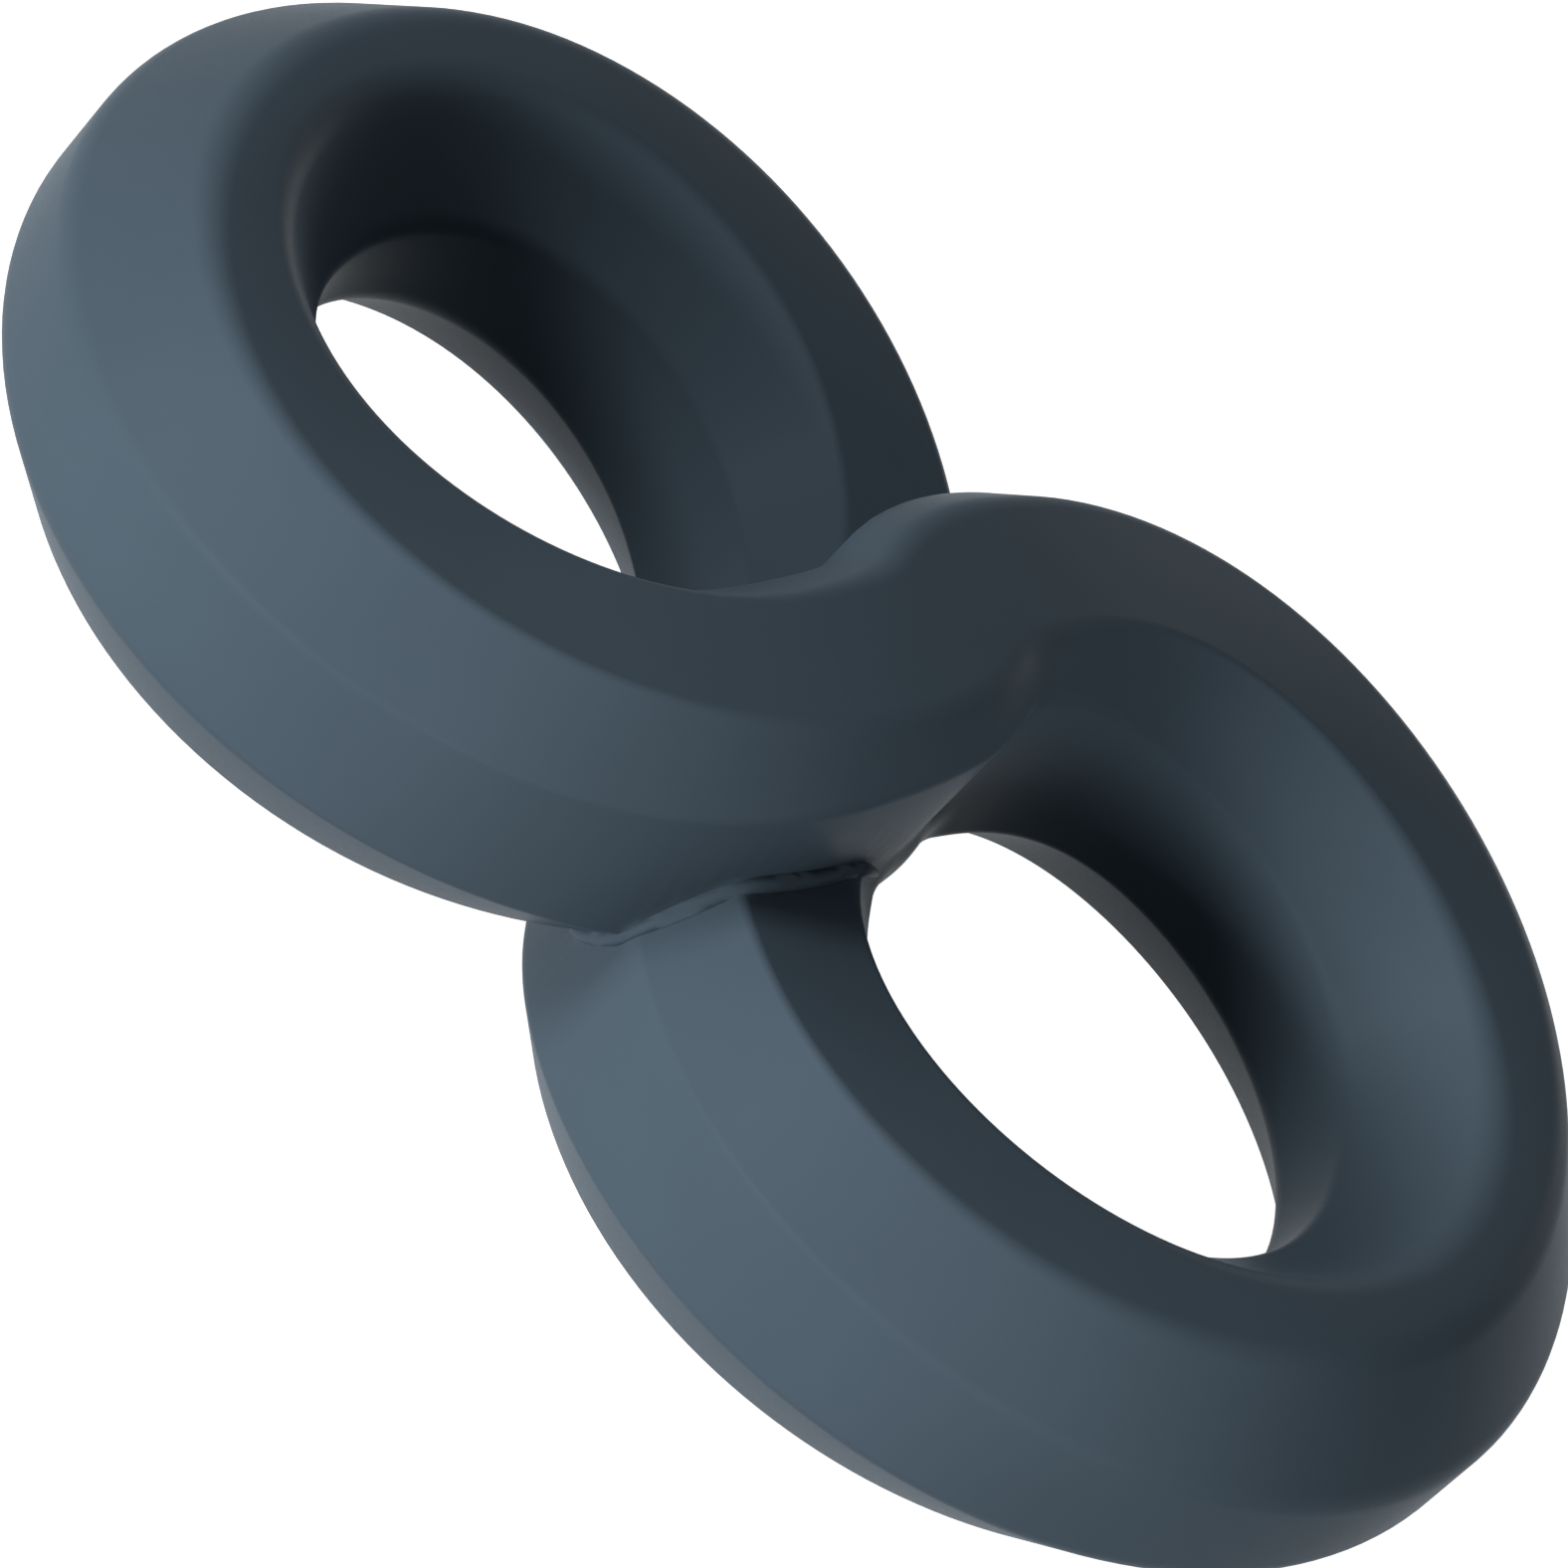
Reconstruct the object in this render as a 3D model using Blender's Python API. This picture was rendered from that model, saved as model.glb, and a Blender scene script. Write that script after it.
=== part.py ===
"""Figure-eight massage ring: one soft strand that runs round two loops and crosses over itself.

Metres, +Z up, +X from the left loop to the right one. The origin is the middle of the footprint,
on the surface that the ring stands on. The strand is modelled in four stretches: a loop at each
end, and the two passes that cross between them. The left loop is the right one turned half round
Z, and the back pass is the front one turned half round X, cut away where the front pass lies on
it.
"""

import math

import bmesh
import bpy
import numpy as np
from mathutils import Matrix, Vector

MM = 0.001

# The strand's path. Both loops are circles that would touch where the passes cross.
LOOP_RADIUS = 18.0 * MM
SWING_START = math.radians(28)  # how far short of touching each loop stops being a circle
SWING_EASE = 0.6  # how firmly a pass keeps the loop's heading before it swings across
CROSSING_LIFT = 4.7 * MM  # how far each pass leaves the middle plane, one up and one down
RESTING_LENGTH = 5.0 * MM  # the level stretch at the crossing, whose underside is the foot

# The strand's eight-sided section.
STRAND_WIDTH = 12.5 * MM
STRAND_HEIGHT = 16.0 * MM
CHAMFER_WIDTH = 3.2 * MM
CHAMFER_HEIGHT = 4.3 * MM
END_CHAMFER_WIDTH = 4.8 * MM  # the chamfers swell at the far end of each loop
END_CHAMFER_HEIGHT = 6.1 * MM
CRISP_EDGE = 0.4 * MM  # what the rounding takes off each side of an edge along the loops' sides
SOFT_EDGE = 1.5 * MM  # the same at the loops' far ends and over the crossing

# Where the four stretches part.
JOINT_GAP = 0.3 * MM
SPLIT_MARGIN = math.radians(13)  # a loop stops this far short of where it meets the other one

# Fineness.
LOOP_STEPS = 52
PASS_STEPS = 28
EDGE_STEPS = 3
SWING_SAMPLES = 400
SMOOTH_BELOW = math.radians(35)

SILICONE_COLOUR = (0.062, 0.081, 0.104, 1.0)
SILICONE_ROUGHNESS = 0.55


def circle_point(angle):
    """(place, heading) in plan on the right loop's circle, counted from the loop's far end."""
    outward = Vector((math.cos(angle), math.sin(angle)))
    return Vector((LOOP_RADIUS, 0.0)) + outward * LOOP_RADIUS, Vector((-outward.y, outward.x))


def swing_point(share):
    """(place, heading) in plan on the front pass, from leaving one circle to joining the other."""
    start, heading = circle_point(math.pi - SWING_START)
    near = start + heading * SWING_EASE * start.length
    knots = (start, near, -near, -start)
    rest = 1.0 - share
    weights = (rest**3, 3 * share * rest**2, 3 * share**2 * rest, share**3)
    place = sum((knot * weight for knot, weight in zip(knots, weights)), Vector((0.0, 0.0)))
    slopes = (rest**2, 2 * share * rest, share**2)
    spans = (knots[1] - knots[0], knots[2] - knots[1], knots[3] - knots[2])
    travel = sum((span * slope for span, slope in zip(spans, slopes)), Vector((0.0, 0.0)))
    return place, travel.normalized()


# How far along the swing each share of it lies, from leaving the circle to the crossing.
SHARES = np.linspace(0.0, 0.5, SWING_SAMPLES + 1)
PLACES = np.array([swing_point(share)[0] for share in SHARES])
LENGTHS = np.concatenate([[0.0], np.cumsum(np.linalg.norm(np.diff(PLACES, axis=0), axis=1))])

CIRCLE_LENGTH = LOOP_RADIUS * (math.pi - SWING_START)
TO_CROSSING = CIRCLE_LENGTH + float(LENGTHS[-1])
MEETING_ANGLE = math.acos(-LOOP_RADIUS / (LOOP_RADIUS + STRAND_WIDTH / 2))
SPLIT = LOOP_RADIUS * (MEETING_ANGLE - SPLIT_MARGIN)
LOWEST = CROSSING_LIFT + STRAND_HEIGHT / 2


def path_point(distance):
    """(place, heading) in plan at a distance along the strand from the right loop's far end."""
    if distance > TO_CROSSING:
        place, heading = path_point(2 * TO_CROSSING - distance)
        return -place, heading
    if distance <= CIRCLE_LENGTH:
        return circle_point(distance / LOOP_RADIUS)
    return swing_point(float(np.interp(distance - CIRCLE_LENGTH, LENGTHS, SHARES)))


def from_far_end(distance):
    """The distance to the nearer loop's far end."""
    return min(abs(distance), 2 * TO_CROSSING - abs(distance))


def rise(distance):
    """(height, slope) of the strand over its middle plane."""
    climb = TO_CROSSING - RESTING_LENGTH / 2
    angle = math.pi / 2 * min(from_far_end(distance) / climb, 1.0)
    height = CROSSING_LIFT * math.sin(angle) ** 3
    slope = CROSSING_LIFT * 3 * math.sin(angle) ** 2 * math.cos(angle) * math.pi / 2 / climb
    return math.copysign(height, distance), slope if abs(distance) < TO_CROSSING else -slope


def rounded_corner(before, corner, after, cut):
    """Points of the arc that takes `cut` off both sides of a corner."""
    back = (before - corner).normalized()
    ahead = (after - corner).normalized()
    turn = math.pi - back.angle(ahead)
    centre = corner + (back + ahead).normalized() * cut / math.sin(turn / 2)
    start = corner + back * cut - centre
    end = corner + ahead * cut - centre
    shares = [step / EDGE_STEPS for step in range(EDGE_STEPS + 1)]
    return [
        centre + (start * math.sin((1 - u) * turn) + end * math.sin(u * turn)) / math.sin(turn)
        for u in shares
    ]


def section(distance, grow):
    """The strand's outline there, as (across, up) points, all round."""
    along = from_far_end(distance) / TO_CROSSING
    at_end = math.cos(math.pi / 2 * along) ** 4
    at_crossing = math.sin(math.pi / 2 * along) ** 6
    side = STRAND_WIDTH / 2 + grow
    top = STRAND_HEIGHT / 2 + grow
    flat = side - CHAMFER_WIDTH - (END_CHAMFER_WIDTH - CHAMFER_WIDTH) * at_end
    wall = top - CHAMFER_HEIGHT - (END_CHAMFER_HEIGHT - CHAMFER_HEIGHT) * at_end
    upper = [Vector(p) for p in ((side, wall), (flat, top), (-flat, top), (-side, wall))]
    corners = upper + [-corner for corner in upper]
    shortest = min((b - a).length for a, b in zip(corners, corners[1:] + corners[:1]))
    soft = max(at_end, at_crossing)
    cut = min(CRISP_EDGE + (SOFT_EDGE - CRISP_EDGE) * soft, 0.45 * shortest)
    outline = []
    for before, corner, after in zip(corners[-1:] + corners, corners, corners[1:] + corners[:1]):
        outline += rounded_corner(before, corner, after, cut)
    return outline


def ring_at(distance, grow):
    """The strand's section there, standing square to its path."""
    place, heading = path_point(distance)
    height, slope = rise(distance)
    forward = Vector((heading.x, heading.y, slope)).normalized()
    across = Vector((-heading.y, heading.x, 0.0))
    up = forward.cross(across)
    centre = Vector((place.x, place.y, LOWEST + height))
    return [centre + across * point.x + up * point.y for point in section(distance, grow)]


def silicone(name):
    material = bpy.data.materials.new(name)
    material.use_nodes = True
    shader = material.node_tree.nodes["Principled BSDF"]
    shader.inputs["Base Color"].default_value = SILICONE_COLOUR
    shader.inputs["Roughness"].default_value = SILICONE_ROUGHNESS
    material.diffuse_color = SILICONE_COLOUR
    return material


def strand(name, start, end, steps, grow=0.0):
    """The closed body of the strand between two distances along it."""
    shape = bmesh.new()
    rings = []
    for step in range(steps + 1):
        distance = start + (end - start) * step / steps
        rings.append([shape.verts.new(point) for point in ring_at(distance, grow)])
    for here, there in zip(rings, rings[1:]):
        for k in range(len(here)):
            after = (k + 1) % len(here)
            shape.faces.new((here[k], here[after], there[after], there[k]))
    shape.faces.new(list(reversed(rings[0])))
    shape.faces.new(rings[-1])
    bmesh.ops.recalc_face_normals(shape, faces=shape.faces)
    mesh = bpy.data.meshes.new(name)
    shape.to_mesh(mesh)
    shape.free()
    mesh.shade_smooth()
    mesh.set_sharp_from_angle(angle=SMOOTH_BELOW)
    obj = bpy.data.objects.new(name, mesh)
    bpy.context.scene.collection.objects.link(obj)
    return obj


def turn_half_round(obj, axis):
    """Turns the body's own mesh half round a line through the middle of the object."""
    middle = Matrix.Translation((0.0, 0.0, LOWEST))
    obj.data.transform(middle @ Matrix.Rotation(math.pi, 4, axis) @ middle.inverted())


def main():
    for obj in list(bpy.data.objects):
        bpy.data.objects.remove(obj)

    loop_end = SPLIT - JOINT_GAP / 2
    right = strand("right_loop", -loop_end, loop_end, LOOP_STEPS)
    left = strand("left_loop", -loop_end, loop_end, LOOP_STEPS)
    turn_half_round(left, "Z")

    pass_start = SPLIT + JOINT_GAP / 2
    front = strand("front_pass", pass_start, 2 * TO_CROSSING - pass_start, PASS_STEPS)
    back = strand("back_pass", pass_start, 2 * TO_CROSSING - pass_start, PASS_STEPS)
    turn_half_round(back, "X")

    # The seat in the back pass is the front pass grown by the gap, run a little past the splits.
    seat_start = SPLIT - LOOP_RADIUS * SPLIT_MARGIN / 2
    seat_end = 2 * TO_CROSSING - seat_start
    seat = strand("seat_cutter", seat_start, seat_end, PASS_STEPS + 4, JOINT_GAP)
    seat.hide_render = True
    seat.display_type = "WIRE"
    saddle = back.modifiers.new("saddle", "BOOLEAN")
    saddle.operation = "DIFFERENCE"
    saddle.solver = "EXACT"
    saddle.object = seat

    for obj in (right, left, front, back):
        obj.data.materials.append(silicone(obj.name + "_silicone"))


main()
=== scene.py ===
"""The looks of a figure-eight massage ring: one seamless silicone skin, and a studio round it."""

import math

import bmesh
import bpy
import numpy as np
from bpy.props import FloatProperty, FloatVectorProperty, IntProperty, PointerProperty
from mathutils import Matrix, Vector
from mathutils.bvhtree import BVHTree


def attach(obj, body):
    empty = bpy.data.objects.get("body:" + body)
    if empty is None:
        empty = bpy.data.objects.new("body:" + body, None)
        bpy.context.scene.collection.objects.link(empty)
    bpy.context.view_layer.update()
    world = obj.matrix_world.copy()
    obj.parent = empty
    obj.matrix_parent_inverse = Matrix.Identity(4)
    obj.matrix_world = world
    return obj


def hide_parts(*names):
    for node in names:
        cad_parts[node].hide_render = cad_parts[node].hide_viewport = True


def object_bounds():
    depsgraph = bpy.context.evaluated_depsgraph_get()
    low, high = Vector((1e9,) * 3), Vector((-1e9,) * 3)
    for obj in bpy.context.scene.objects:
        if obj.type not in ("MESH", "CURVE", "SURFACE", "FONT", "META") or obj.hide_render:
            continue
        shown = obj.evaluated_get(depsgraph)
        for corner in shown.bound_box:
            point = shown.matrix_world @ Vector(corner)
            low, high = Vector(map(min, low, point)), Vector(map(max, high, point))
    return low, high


bl_info = {
    "name": "Figure-eight massage ring",
    "version": (1, 0),
    "blender": (4, 5, 0),
    "location": "View3D > Sidebar > Massage ring",
    "description": "Makes a soft silicone figure-eight ring and a studio to show it in",
    "category": "Add Mesh",
}

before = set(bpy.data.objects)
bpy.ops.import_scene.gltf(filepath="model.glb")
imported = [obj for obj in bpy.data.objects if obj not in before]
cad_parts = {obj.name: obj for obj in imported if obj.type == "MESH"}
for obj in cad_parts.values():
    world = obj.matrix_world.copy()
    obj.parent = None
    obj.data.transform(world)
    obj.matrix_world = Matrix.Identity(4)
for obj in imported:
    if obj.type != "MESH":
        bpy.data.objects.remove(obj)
CAD_LOW, CAD_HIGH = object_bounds()

MM = 0.001
SIDEBAR = "Massage ring"
NODES = ("left_loop", "right_loop", "front_pass", "back_pass")

# The footprint is four loop radii and one strand long, and two radii and one strand wide. The
# crossing is one strand and two lifts high.
LENGTH, WIDTH, HEIGHT = (high - low for low, high in zip(CAD_LOW, CAD_HIGH))
LOOP_RADIUS = (LENGTH - WIDTH) / 2
STRAND_WIDTH = 2 * WIDTH - LENGTH
CROSSING_LIFT = 4.7 * MM
STRAND_HEIGHT = HEIGHT - 2 * CROSSING_LIFT
MIDDLE = (Vector(CAD_LOW) + Vector(CAD_HIGH)) / 2

# The ring looks the same after half a turn round X, Y or Z.
TURN_OVER = Matrix.Diagonal((1.0, -1.0, -1.0, 1.0))
HALF_TURNS = (
    Matrix.Identity(4),
    TURN_OVER,
    Matrix.Rotation(math.pi, 4, "Z"),
    Matrix.Rotation(math.pi, 4, "Y"),
)

# The strand's path, and how its section changes along it.
SIDES = 8
ARC_POINTS = 240
SWING_POINTS = 120
OVERRUN = 1.0 * MM  # how far each half runs on past a loop's far end
CLIMB_POWER = 2.8  # the higher, the later a pass climbs
END_POWER = 4.0  # the higher, the closer the swollen chamfers keep to a loop's far end
CROSSING_POWER = 21.0  # the higher, the closer the narrow section keeps to the crossing
PASS_START = 0.175  # each half counts as a pass from this share of its length on
WELD = 1e-6  # how close two points lie that are joined into one
TUBE_WELD = 1e-7  # the same where the tube closes on itself

# The fine strip of skin along the seam. First the faces round it are split.
COARSE_GRAIN = 0.6 * MM  # the longest edges that stay whole
COARSE_ROUNDS = 5
STRIP_REACH = 1.25  # how far the strip reaches from the seam, in fillets
GRAINS_PER_FILLET = 3
LONGEST, SHORTEST = 1.45, 0.45  # the edges that are split and collapsed, in grains
RELAXING = 0.6  # how far a point moves towards the middle of its neighbours
SEAM_ROUNDS = 5  # how often the strip is refined and relaxed
SMOOTH_ROUNDS = 8  # how often it is smoothed after that
SHADING_ROUNDS = 10  # how often its shading is evened out

# The bead along the seam.
ON_SEAM = 2e-6  # how close to both passes a point of the seam lies
BEAD_STEPS = 60
BEAD_ROUNDS = 24  # how often its line is smoothed
BEAD_TIP = 0.03  # the share of the taper that is left off at each end
BEAD_TAPER = 0.35  # the lower, the blunter its ends

# These keep a division from being by nothing.
LEAST_AREA = 1e-30
LEAST_LENGTH = 1e-12
LEAST_GROWTH = 1e-6

# The finish: how its noises look, and how far the roughness strays.
NOISE_ROUGHNESS = 0.55
NOISE_RANGE = {"From Min": 0.3, "From Max": 0.7}  # the middle of a noise, which is stretched
CLOUD_DETAIL = 3.0
GRAIN_DETAIL = 2.0
ROUGHNESS_STRAY = 0.03
MIX_SHARE, MIX_FIRST, MIX_SECOND = 0, 6, 7  # the inputs of a mix of two colours
MIX_RESULT = 2

# The camera: where it aims, from the ring's middle, and where it stands, from there.
CAMERA_AIM = Vector((-0.067 * MM, -0.762 * MM, -0.805 * MM))
CAMERA_PLACE = (math.radians(0.99), math.radians(39.1), 352.8 * MM)
CAMERA_ROLL = math.radians(44.515)
SENSOR_WIDTH = 36.0  # in camera millimetres, as is the lens
LENS = 184.34

# The soft lights: watts, degrees round from the front (left below 0) and up, width and height.
# The low ones are strips that stand on the floor.
SOFTBOXES = {
    "Front left strip": (2.45, -30.0, 3.6, 0.3, 0.1),
    "Left strip": (0.3, -60.0, 3.6, 0.3, 0.1),
    "Front strip": (0.4, 0.0, 3.6, 0.3, 0.1),
    "Front right strip": (0.5, 30.0, 3.6, 0.3, 0.1),
    "Right strip": (0.35, 75.0, 3.6, 0.3, 0.1),
    "Back strip": (0.7, 170.0, 3.6, 0.3, 0.1),
    "Raised softbox": (1.45, -55.0, 28.0, 0.15, 0.15),
}
SOFTBOX_DISTANCE = 0.6

FLOOR_SIZE = 4.0
WHITE = (1.0, 1.0, 1.0, 1.0)
FLOOR_WHITE = (0.8, 0.8, 0.8, 1.0)
CAMERA_RAYS = ("Is Camera Ray", "Is Glossy Ray", "Is Transmission Ray")


# ---------------------------------------------------------------------------------------------
# Node trees
# ---------------------------------------------------------------------------------------------


class Term:
    """A value inside a node tree. Arithmetic on it adds the math nodes that work it out."""

    def __init__(self, tree, socket):
        self.tree = tree
        self.socket = socket

    def math(self, operation, *others):
        return add(self.tree, "ShaderNodeMath", (self, *others), operation=operation)

    def vector(self, operation, *others):
        return add(self.tree, "ShaderNodeVectorMath", (self, *others), operation=operation)

    def __add__(self, other):
        is_vector = self.socket.type == "VECTOR"
        return self.vector("ADD", other) if is_vector else self.math("ADD", other)

    def __sub__(self, other):
        is_vector = self.socket.type == "VECTOR"
        return self.vector("SUBTRACT", other) if is_vector else self.math("SUBTRACT", other)

    def __mul__(self, other):
        return self.math("MULTIPLY", other)

    def __truediv__(self, other):
        return self.math("DIVIDE", other)

    def __pow__(self, other):
        return self.math("POWER", other)

    def __neg__(self):
        return self.math("MULTIPLY", -1.0)

    def scaled(self, factor):
        node = self.tree.nodes.new("ShaderNodeVectorMath")
        node.operation = "SCALE"
        plug(self.tree, self, node.inputs["Vector"])
        plug(self.tree, factor, node.inputs["Scale"])
        return Term(self.tree, node.outputs["Vector"])


def plug(tree, value, socket):
    if isinstance(value, Term):
        tree.links.new(value.socket, socket)
    else:
        socket.default_value = value


def add(tree, kind, inputs=(), output=0, **settings):
    """Adds a node and gives back one output. Inputs are a list in order, or go by their names."""
    node = tree.nodes.new(kind)
    for name, value in settings.items():
        setattr(node, name, value)
    by_name = inputs.items() if isinstance(inputs, dict) else enumerate(inputs)
    for name, value in by_name:
        plug(tree, value, node.inputs[name])
    return Term(tree, node.outputs[output])


def point(tree, x, y, z=0.0):
    return add(tree, "ShaderNodeCombineXYZ", (x, y, z))


def joined(tree, kinds):
    """The geometries as one, in the order given: a join takes the last one linked first."""
    node = tree.nodes.new("GeometryNodeJoinGeometry")
    for kind in reversed(kinds):
        tree.links.new(kind.socket, node.inputs[0])
    return Term(tree, node.outputs[0])


def new_tree(name, sizes, output):
    """A geometry node tree with a named input for each size. Returns it and the inputs' terms."""
    tree = bpy.data.node_groups.new(name, "GeometryNodeTree")
    for label, kind in sizes.items():
        tree.interface.new_socket(label, in_out="INPUT", socket_type="NodeSocket" + kind)
    tree.interface.new_socket(output, in_out="OUTPUT", socket_type="NodeSocketGeometry")
    group_input = tree.nodes.new("NodeGroupInput")
    return tree, {label: Term(tree, group_input.outputs[label]) for label in sizes}


def close_tree(tree, result):
    tree.links.new(result.socket, tree.nodes.new("NodeGroupOutput").inputs[0])
    return tree


def bevelled_outline_tree():
    """An eight-sided outline with rounded corners, for one section of the strand."""
    sizes = {
        "Width": "Float",
        "Height": "Float",
        "Chamfer Width": "Float",
        "Chamfer Height": "Float",
        "Edge Radius": "Float",
        "Edge Steps": "Int",
    }
    tree, given = new_tree("Bevelled outline", sizes, "Outline")
    side = given["Width"] * 0.5
    top = given["Height"] * 0.5
    corner = add(tree, "GeometryNodeInputIndex") + 0.5
    right = (corner * (math.tau / SIDES)).math("COSINE")
    up = (corner * (math.tau / SIDES)).math("SINE")
    on_side = right.math("ABSOLUTE").math("GREATER_THAN", up.math("ABSOLUTE"))
    on_top = on_side.math("LESS_THAN", 0.5)
    x = (side - given["Chamfer Width"] * on_top) * right.math("SIGN")
    y = (top - given["Chamfer Height"] * on_side) * up.math("SIGN")
    eight = add(tree, "GeometryNodeMeshCircle", {"Vertices": SIDES})
    placed = add(tree, "GeometryNodeSetPosition", {"Geometry": eight, "Position": point(tree, x, y)})
    curve = add(tree, "GeometryNodeMeshToCurve", {"Mesh": placed})
    rounding = {
        "Curve": curve,
        "Count": given["Edge Steps"],
        "Radius": given["Edge Radius"],
        "Limit Radius": True,
    }
    return close_tree(tree, add(tree, "GeometryNodeFilletCurve", rounding, mode="POLY"))


def half_path(tree, given):
    """The strand's centreline from the right loop's far end, over the crossing, to the left's.

    It overruns both ends a little, so that the strand's direction is true there.
    """
    radius = given["Loop Radius"]
    swing = given["Swing Angle"]
    overrun = given["Overrun"] / radius
    round_angle = -swing + math.pi
    start_x = radius - radius * swing.math("COSINE")
    start_y = radius * swing.math("SINE")
    handle = radius * (swing * 0.5).math("SINE") * 2.0 * given["Swing Ease"]
    near_x = start_x - handle * swing.math("SINE")
    near_y = start_y - handle * swing.math("COSINE")

    arc = {"Resolution": ARC_POINTS, "Radius": radius, "Sweep Angle": round_angle + overrun}
    right = add(tree, "GeometryNodeCurveArc", {**arc, "Start Angle": -overrun})
    arc["Sweep Angle"] = -(round_angle + overrun)
    left = add(tree, "GeometryNodeCurveArc", {**arc, "Start Angle": -swing})
    right = add(
        tree, "GeometryNodeTransform", {"Geometry": right, "Translation": point(tree, radius, 0.0)}
    )
    left = add(
        tree, "GeometryNodeTransform", {"Geometry": left, "Translation": point(tree, -radius, 0.0)}
    )
    knots = {
        "Resolution": SWING_POINTS,
        "Start": point(tree, start_x, start_y),
        "Start Handle": point(tree, near_x, near_y),
        "End Handle": point(tree, -near_x, -near_y),
        "End": point(tree, -start_x, -start_y),
    }
    swung = add(tree, "GeometryNodeCurvePrimitiveBezierSegment", knots, mode="POSITION")
    dots = [
        add(tree, "GeometryNodeCurveToPoints", {"Curve": part}, mode="EVALUATED")
        for part in (right, swung, left)
    ]
    welded = add(
        tree, "GeometryNodeMergeByDistance", {"Geometry": joined(tree, dots), "Distance": WELD}
    )
    flat = add(tree, "GeometryNodePointsToCurves", {"Points": welded})

    # Each pass rises as a power of the sine of the way it has come.
    along = add(tree, "GeometryNodeSplineParameter", output="Length")
    whole = add(tree, "GeometryNodeSplineLength", output="Length")
    from_end = along.math("MINIMUM", whole - along) - given["Overrun"]
    climb = whole * 0.5 - given["Overrun"] - given["Crown Length"] * 0.5
    share = (from_end / climb).math("MINIMUM", 1.0)
    height = given["Crossing Lift"] * (share * (math.pi / 2)).math("SINE") ** CLIMB_POWER
    return add(
        tree, "GeometryNodeSetPosition", {"Geometry": flat, "Offset": point(tree, 0.0, 0.0, height)}
    )


def half_strand_tree():
    """One half of the strand, swept along its path as a tube with a section that changes."""
    sizes = {
        "Loop Radius": "Float",
        "Swing Angle": "Float",
        "Swing Ease": "Float",
        "Crossing Lift": "Float",
        "Crown Length": "Float",
        "Overrun": "Float",
        "Strand Width": "Float",
        "Crossing Width": "Float",
        "Strand Height": "Float",
        "Chamfer Width": "Float",
        "Chamfer Height": "Float",
        "Edge Radius": "Float",
        "End Chamfer Width": "Float",
        "End Chamfer Height": "Float",
        "End Edge Radius": "Float",
        "Crossing Chamfer Width": "Float",
        "Crossing Chamfer Height": "Float",
        "Crossing Edge Radius": "Float",
        "Edge Steps": "Int",
        "Steps Along": "Int",
        "Material": "Material",
    }
    tree, given = new_tree("Half strand", sizes, "Strand")
    path = half_path(tree, given)
    outline_tree = bevelled_outline_tree()

    def outline(width, chamfer, edge):
        settings = {
            "Width": given[width],
            "Height": given["Strand Height"],
            "Chamfer Width": given[chamfer + " Width"],
            "Chamfer Height": given[chamfer + " Height"],
            "Edge Radius": given[edge],
            "Edge Steps": given["Edge Steps"],
        }
        return add(tree, "GeometryNodeGroup", settings, node_tree=outline_tree)

    outlines = [
        outline("Strand Width", "Chamfer", "Edge Radius"),
        outline("Strand Width", "End Chamfer", "End Edge Radius"),
        outline("Crossing Width", "Crossing Chamfer", "Crossing Edge Radius"),
    ]
    around = add(
        tree, "GeometryNodeAttributeDomainSize", {"Geometry": outlines[0]}, component="CURVE"
    )
    across_count = around + 1.0
    grid = add(
        tree,
        "GeometryNodeMeshGrid",
        {"Vertices X": given["Steps Along"] + 1.0, "Vertices Y": across_count},
    )
    index = add(tree, "GeometryNodeInputIndex")
    station = (index / across_count).math("FLOOR")
    corner = index.math("MODULO", across_count).math("MODULO", around)

    # Where each station lies, and how far it is on the way from a far end to the crossing.
    length = add(tree, "GeometryNodeCurveLength", {"Curve": path})
    share = station / given["Steps Along"]
    distance = given["Overrun"] + share * (length - given["Overrun"] * 2.0)
    sample = tree.nodes.new("GeometryNodeSampleCurve")
    sample.mode = "LENGTH"
    plug(tree, path, sample.inputs["Curves"])
    plug(tree, distance, sample.inputs["Length"])
    centre = Term(tree, sample.outputs["Position"])
    forward = Term(tree, sample.outputs["Tangent"])
    across = point(tree, 0.0, 0.0, 1.0).vector("CROSS_PRODUCT", forward).vector("NORMALIZE")
    upward = forward.vector("CROSS_PRODUCT", across)
    along = -((share * 2.0 - 1.0).math("ABSOLUTE")) + 1.0
    at_end = (along * (math.pi / 2)).math("COSINE") ** END_POWER
    at_crossing = (along * (math.pi / 2)).math("SINE") ** CROSSING_POWER

    # The section there is a mix of the three outlines, point by point.
    here = add(tree, "GeometryNodeInputPosition")
    corners = []
    for curve in outlines:
        node = tree.nodes.new("GeometryNodeSampleIndex")
        node.data_type = "FLOAT_VECTOR"
        for value, name in ((curve, "Geometry"), (here, "Value"), (corner, "Index")):
            plug(tree, value, node.inputs[name])
        corners.append(Term(tree, node.outputs["Value"]))
    side, end, crossing = corners
    section = side + (end - side).scaled(at_end) + (crossing - side).scaled(at_crossing)
    axes = tree.nodes.new("ShaderNodeSeparateXYZ")
    plug(tree, section, axes.inputs[0])
    section_x, section_y = (Term(tree, axes.outputs[name]) for name in "XY")
    place = centre + across.scaled(section_x) + upward.scaled(section_y)

    tube = add(tree, "GeometryNodeSetPosition", {"Geometry": grid, "Position": place})
    tube = add(tree, "GeometryNodeFlipFaces", {"Mesh": tube})
    seam = corner.math("LESS_THAN", 0.5)
    weld = {"Geometry": tube, "Selection": seam, "Distance": TUBE_WELD}
    tube = add(tree, "GeometryNodeMergeByDistance", weld)
    tube = add(tree, "GeometryNodeRealizeInstances", {"Geometry": tube})
    tube = add(tree, "GeometryNodeSetMaterial", {"Geometry": tube, "Material": given["Material"]})
    return close_tree(tree, tube)


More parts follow.
